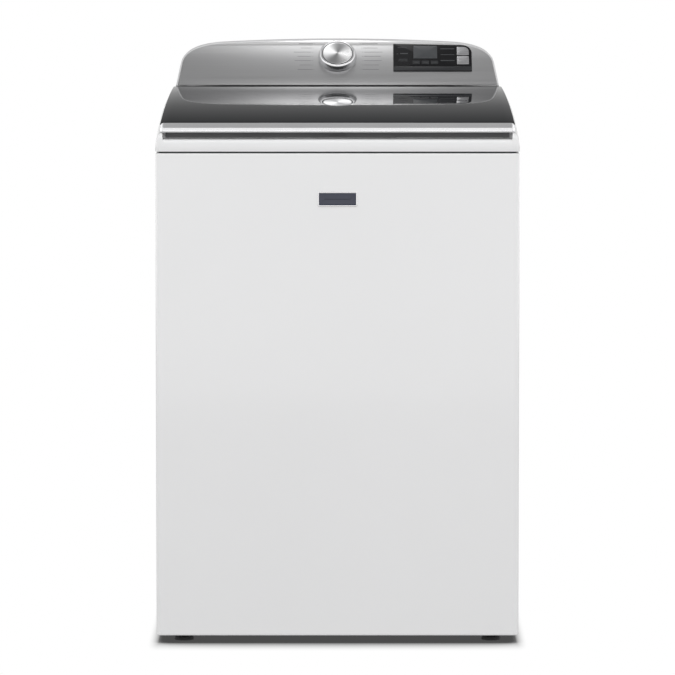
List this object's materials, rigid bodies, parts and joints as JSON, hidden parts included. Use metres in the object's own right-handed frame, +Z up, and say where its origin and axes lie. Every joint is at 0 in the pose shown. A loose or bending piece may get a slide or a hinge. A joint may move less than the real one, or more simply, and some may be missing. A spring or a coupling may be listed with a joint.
{
  "type": "top load washing machine",
  "caption": "Top load washing machine with a crowned dark glass lid, sloping console with a push knob and display, and a sprung direct drive tub.",
  "frame": {"origin": "on the floor, at the centre of the outline's bottom", "axes": "+Z up, the front with the lid's handle edge faces -Y, +X to the right of a user who stands in front"},
  "size_m": [0.699, 0.702, 1.146],
  "materials": {
    "enamel_white": "gloss enamel",
    "zinc": "galvanised sheet",
    "deck_white": "smooth gloss",
    "white_plastic": "satin",
    "natural_plastic": "fine texture",
    "dark_plastic": "satin",
    "glass_dark": "tinted, polished",
    "bright_trim": "polished",
    "console_metal": "brushed sideways",
    "console_plastic": "metallic grey, satin",
    "knob_metal": "spun",
    "knob_ring_metal": "satin chrome",
    "display_black": "gloss",
    "lcd_grey": "unlit",
    "key_silver": "satin silver",
    "steel": "drawn",
    "stainless": "polished stainless",
    "zinc_steel": "zinc plated",
    "rubber_black": "moulded",
    "port_blue": "moulded",
    "iron": "laminated",
    "copper": "enamelled winding",
    "board_green": "circuit board",
    "impeller_grey": "smooth",
    "plate_dark": "gloss"
  },
  "bodies": {
    "cabinet": {"cabinet_shell": "enamel_white", "rear_panel": "zinc", "rear_screws": "zinc_steel", "base_frame": "zinc", "deck": "deck_white", "deck_skirt": "white_plastic", "suspension_brackets": "zinc", "rod_sockets": "white_plastic", "suspension_rods": "zinc_steel", "suspension_springs": "steel", "nameplate_frame": "bright_trim", "nameplate_face": "plate_dark", "detergent_tray": "white_plastic", "fill_flume": "natural_plastic", "inlet_valve": "natural_plastic", "inlet_ports": "port_blue", "drain_port": "dark_plastic", "lid_lock_case": "dark_plastic", "hinge_brackets": "zinc_steel", "console_housing": "console_plastic", "console_fascia": "console_metal", "console_cover": "zinc", "cord_gland": "dark_plastic", "control_board": "board_green", "knob_encoder": "dark_plastic", "display_panel": "display_black", "display_lcd": "lcd_grey"},
    "lid": {"lid_glass": "glass_dark", "lid_frame": "dark_plastic", "lid_trim": "bright_trim", "lid_liner": "white_plastic", "lid_bumpers": "rubber_black", "lid_strike": "zinc_steel", "hinge_pins": "zinc_steel"},
    "lock_bolt": {"lid_lock_bolt": "white_plastic"},
    "knob": {"knob_ring": "knob_ring_metal"},
    "knob_push": {"knob_button": "knob_metal"},
    "power_key": {"power_button": "key_silver"},
    "start_key": {"start_button": "key_silver"},
    "tub": {"outer_tub": "natural_plastic", "tub_cover": "white_plastic", "ear_seats": "rubber_black", "hub_bearings": "steel", "hub_seal": "rubber_black", "stator_core": "iron", "stator_coils": "copper", "drain_pump": "dark_plastic"},
    "basket": {"basket_wall": "stainless", "basket_base": "white_plastic", "balance_ring": "white_plastic", "spin_tube": "steel"},
    "clutch": {"clutch_slider": "white_plastic"},
    "drive": {"impeller": "impeller_grey", "drive_shaft": "steel", "rotor_cup": "zinc_steel"},
    "pump_rotor": {"pump_impeller": "white_plastic"},
    "front_left_leg": {"leg_front_left": "rubber_black"},
    "front_right_leg": {"leg_front_right": "rubber_black"},
    "rear_left_leg": {"leg_rear_left": "rubber_black"},
    "rear_right_leg": {"leg_rear_right": "rubber_black"}
  },
  "joints": [
    {"name": "lid_hinge", "type": "hinge", "parent": "cabinet", "child": "lid", "pos_m": [0, 0.1885, 1.0455], "axis": [-1, 0, 0], "range_deg": [0, 96]},
    {"name": "lock_bolt_slide", "type": "slide", "parent": "cabinet", "child": "lock_bolt", "axis": [0, -1, 0], "range_m": [0, 0.008]},
    {"name": "knob_turn", "type": "hinge", "parent": "cabinet", "child": "knob", "pos_m": [0, 0.25415, 1.11015], "axis": [0, -0.7071, 0.7071], "continuous": true},
    {"name": "knob_press", "type": "slide", "parent": "cabinet", "child": "knob_push", "axis": [0, 0.7071, -0.7071], "range_m": [0, 0.0015], "stiffness_N_per_m": 1200, "springref_m": -0.0006},
    {"name": "power_key_press", "type": "slide", "parent": "cabinet", "child": "power_key", "axis": [0, 0.7071, -0.7071], "range_m": [0, 0.001], "stiffness_N_per_m": 1500, "springref_m": -0.0004},
    {"name": "start_key_press", "type": "slide", "parent": "cabinet", "child": "start_key", "axis": [0, 0.7071, -0.7071], "range_m": [0, 0.001], "stiffness_N_per_m": 1500, "springref_m": -0.0004},
    {"name": "tub_bounce", "type": "slide", "parent": "cabinet", "child": "tub", "axis": [0, 0, 1], "range_m": [-0.025, 0.015], "stiffness_N_per_m": 14000, "springref_m": 0.02898, "deforming": ["suspension_springs"]},
    {"name": "basket_spin", "type": "hinge", "parent": "tub", "child": "basket", "pos_m": [0, -0.015, 0.19], "axis": [0, 0, 1], "continuous": true},
    {"name": "clutch_shift", "type": "slide", "parent": "basket", "child": "clutch", "axis": [0, 0, -1], "range_m": [0, 0.0075]},
    {"name": "impeller_spin", "type": "hinge", "parent": "tub", "child": "drive", "pos_m": [0, -0.015, 0.19], "axis": [0, 0, 1], "continuous": true},
    {"name": "pump_spin", "type": "hinge", "parent": "tub", "child": "pump_rotor", "pos_m": [0.172, -0.151, 0.118], "axis": [0, 0, 1], "continuous": true},
    {"name": "front_left_leg_screw", "type": "slide", "parent": "cabinet", "child": "front_left_leg", "axis": [0, 0, -1], "range_m": [-0.003, 0.01]},
    {"name": "front_right_leg_screw", "type": "slide", "parent": "cabinet", "child": "front_right_leg", "axis": [0, 0, -1], "range_m": [-0.003, 0.01]},
    {"name": "rear_left_leg_screw", "type": "slide", "parent": "cabinet", "child": "rear_left_leg", "axis": [0, 0, -1], "range_m": [-0.003, 0.01]},
    {"name": "rear_right_leg_screw", "type": "slide", "parent": "cabinet", "child": "rear_right_leg", "axis": [0, 0, -1], "range_m": [-0.003, 0.01]}
  ]
}
